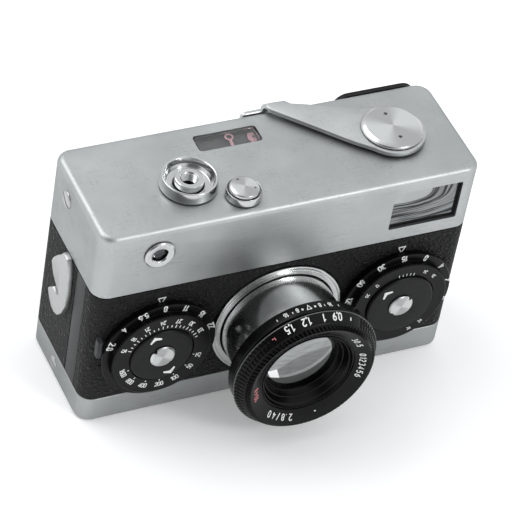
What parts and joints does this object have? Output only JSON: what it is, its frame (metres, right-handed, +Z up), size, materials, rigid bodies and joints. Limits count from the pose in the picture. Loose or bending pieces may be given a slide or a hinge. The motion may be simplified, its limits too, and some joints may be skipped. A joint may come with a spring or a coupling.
{
  "type": "compact viewfinder camera",
  "caption": "Pocket viewfinder camera for film, with a collapsible lens tube, two front dials, top release, wind lever and a removable base and back.",
  "frame": {"origin": "middle of the underside of the base tray", "axes": "+Z up, -Y out of the lens, +X to the right of a person facing the lens"},
  "size_m": [0.0993, 0.0545, 0.0633],
  "materials": {
    "satin_metal": "satin chrome plate",
    "polished_metal": "polished chrome plate",
    "steel": "plain steel",
    "black_paint": "semi-matt black paint",
    "black_alloy": "satin black anodised",
    "leatherette": "pebbled black leatherette",
    "glass": "clear coated glass",
    "black_plastic": "fine matt",
    "red_paint": "matt red",
    "brass": "machined"
  },
  "bodies": {
    "back_shell": {"base_tray": "satin_metal", "back_panel": "black_paint", "back_leather": "leatherette", "strap_lug": "satin_metal", "base_screw_left": "steel", "base_screw_right": "steel", "tripod_bush": "steel"},
    "lock_key": {"lock_key": "steel", "lock_cam": "steel"},
    "camera": {"body_casting": "black_paint", "film_rails": "steel", "front_leather": "leatherette", "top_cover": "satin_metal", "cover_screw_left": "steel", "cover_screw_right": "steel", "finder_frame": "black_paint", "finder_front_lens": "glass", "finder_tunnel": "black_plastic", "eyepiece_lens": "glass", "eyepiece_frame": "black_plastic", "cell_bezel": "polished_metal", "light_cell": "glass", "meter_movement": "steel", "meter_scale": "black_paint", "meter_window": "glass", "battery": "steel", "release_collar": "polished_metal", "lens_lock_collar": "polished_metal", "accessory_shoe": "satin_metal", "lens_flange": "polished_metal"},
    "pressure_plate": {"pressure_plate": "black_alloy"},
    "meter_needle": {"meter_needle": "red_paint"},
    "follower_needle": {"follower_needle": "red_paint"},
    "release_button": {"release_button": "polished_metal", "release_spring": "steel"},
    "lens_lock": {"lens_lock_button": "satin_metal"},
    "wind_lever": {"wind_lever": "satin_metal", "lever_cap": "satin_metal", "wind_gear": "brass"},
    "sprocket": {"sprocket_drum": "black_alloy"},
    "take_up": {"take_up_spool": "black_plastic"},
    "counter": {"frame_counter": "black_paint"},
    "rewind": {"rewind_hub": "steel"},
    "crank": {"rewind_crank": "satin_metal"},
    "lens_slide": {"lens_carriage": "brass"},
    "lens_barrel": {"lens_tube": "polished_metal", "scale_ring": "black_alloy", "shutter_housing": "black_alloy", "rear_lens": "glass"},
    "helicoid": {"helicoid": "brass"},
    "focus": {"focus_ring": "black_alloy", "front_ring": "black_alloy", "front_lens": "glass"},
    "aperture_dial": {"aperture_dial": "black_alloy", "aperture_cap": "satin_metal"},
    "film_speed": {"film_speed_disc": "black_alloy"},
    "speed_dial": {"speed_dial": "black_alloy", "speed_cap": "satin_metal"},
    "film_type": {"film_type_disc": "black_alloy"},
    "aperture_catch": {"aperture_catch": "steel"}
  },
  "joints": [
    {"name": "shell_separation", "type": "slide", "parent": "back_shell", "child": "camera", "axis": [0, 0, 1], "range_m": [0, 0.042]},
    {"name": "back_lock_turn", "type": "hinge", "parent": "back_shell", "child": "lock_key", "pos_m": [0.039, 0, 0], "axis": [0, 0, 1], "range_deg": [0, 90]},
    {"name": "pressure_plate_spring", "type": "slide", "parent": "camera", "child": "pressure_plate", "axis": [0, 1, 0], "range_m": [0, 0.0004], "stiffness_N_per_m": 400, "springref_m": -0.0002},
    {"name": "meter_needle_swing", "type": "hinge", "parent": "camera", "child": "meter_needle", "pos_m": [-0.0045, 0.002, 0], "axis": [0, 0, 1], "range_deg": [-22, 26], "stiffness_Nm_per_rad": 0.00001},
    {"name": "follower_swing", "type": "hinge", "parent": "camera", "child": "follower_needle", "pos_m": [-0.0045, 0.002, 0], "axis": [0, 0, 1], "range_deg": [-15, 15]},
    {"name": "release_press", "type": "slide", "parent": "camera", "child": "release_button", "axis": [0, 0, -1], "range_m": [0, 0.0016], "stiffness_N_per_m": 600, "springref_m": -0.0012, "deforming": ["release_spring"]},
    {"name": "lens_lock_press", "type": "slide", "parent": "camera", "child": "lens_lock", "axis": [0, 0, -1], "range_m": [0, 0.0009], "stiffness_N_per_m": 500, "springref_m": -0.001},
    {"name": "wind_stroke", "type": "hinge", "parent": "camera", "child": "wind_lever", "pos_m": [0.0314, 0, 0], "axis": [0, 0, -1], "range_deg": [0, 130], "stiffness_Nm_per_rad": 0.004, "springref_deg": -17.19},
    {"name": "sprocket_turn", "type": "hinge", "parent": "camera", "child": "sprocket", "pos_m": [0.024, 0.00418, 0], "axis": [0, 0, -1], "range_deg": [-362, 1]},
    {"name": "take_up_turn", "type": "hinge", "parent": "camera", "child": "take_up", "pos_m": [0.0377, 0.0006, 0], "axis": [0, 0, -1], "range_deg": [-1, 261]},
    {"name": "counter_turn", "type": "hinge", "parent": "camera", "child": "counter", "pos_m": [-0.0015, 0.007, 0], "axis": [0, 0, -1], "range_deg": [-1, 10]},
    {"name": "rewind_turn", "type": "hinge", "parent": "camera", "child": "rewind", "pos_m": [-0.031, 0.0005, 0], "axis": [0, 0, 1], "continuous": true},
    {"name": "crank_fold", "type": "hinge", "parent": "rewind", "child": "crank", "pos_m": [-0.0376, 0.0005, 0.0008], "axis": [0, 1, 0], "range_deg": [0, 115]},
    {"name": "lens_collapse", "type": "slide", "parent": "camera", "child": "lens_slide", "axis": [0, 1, 0], "range_m": [0, 0.0104]},
    {"name": "lens_lock_turn", "type": "hinge", "parent": "lens_slide", "child": "lens_barrel", "pos_m": [0, 0, 0.0226], "axis": [0, 1, 0], "range_deg": [-30, 0]},
    {"name": "focus_travel", "type": "slide", "parent": "lens_barrel", "child": "helicoid", "axis": [0, -1, 0], "range_m": [-0.0005, 0.0001]},
    {"name": "focus_turn", "type": "hinge", "parent": "helicoid", "child": "focus", "pos_m": [0, 0, 0.0226], "axis": [0, 1, 0], "range_deg": [-165, 12]},
    {"name": "aperture_select", "type": "hinge", "parent": "camera", "child": "aperture_dial", "pos_m": [-0.0313, 0, 0.0228], "axis": [0, 1, 0], "range_deg": [-70.5, 70.5]},
    {"name": "film_speed_set", "type": "hinge", "parent": "aperture_dial", "child": "film_speed", "pos_m": [-0.0313, 0, 0.0228], "axis": [0, 1, 0], "range_deg": [-100, 60]},
    {"name": "aperture_catch_press", "type": "slide", "parent": "camera", "child": "aperture_catch", "axis": [0, 0, -1], "range_m": [0, 0.001], "stiffness_N_per_m": 300, "springref_m": -0.0006},
    {"name": "shutter_speed_select", "type": "hinge", "parent": "camera", "child": "speed_dial", "pos_m": [0.0311, 0, 0.0228], "axis": [0, 1, 0], "range_deg": [-105, 131.5]},
    {"name": "film_type_set", "type": "hinge", "parent": "speed_dial", "child": "film_type", "pos_m": [0.0311, 0, 0.0228], "axis": [0, 1, 0], "range_deg": [-120, 120]}
  ],
  "couplings": [
    {"joint": "sprocket_turn", "follows": "wind_stroke", "ratio": -2.7778},
    {"joint": "take_up_turn", "follows": "wind_stroke", "ratio": 2},
    {"joint": "counter_turn", "follows": "wind_stroke", "ratio": 0.0692},
    {"joint": "follower_swing", "follows": "aperture_select", "ratio": 0.2},
    {"joint": "focus_travel", "follows": "focus_turn", "m_per_rad": 0.000172}
  ]
}
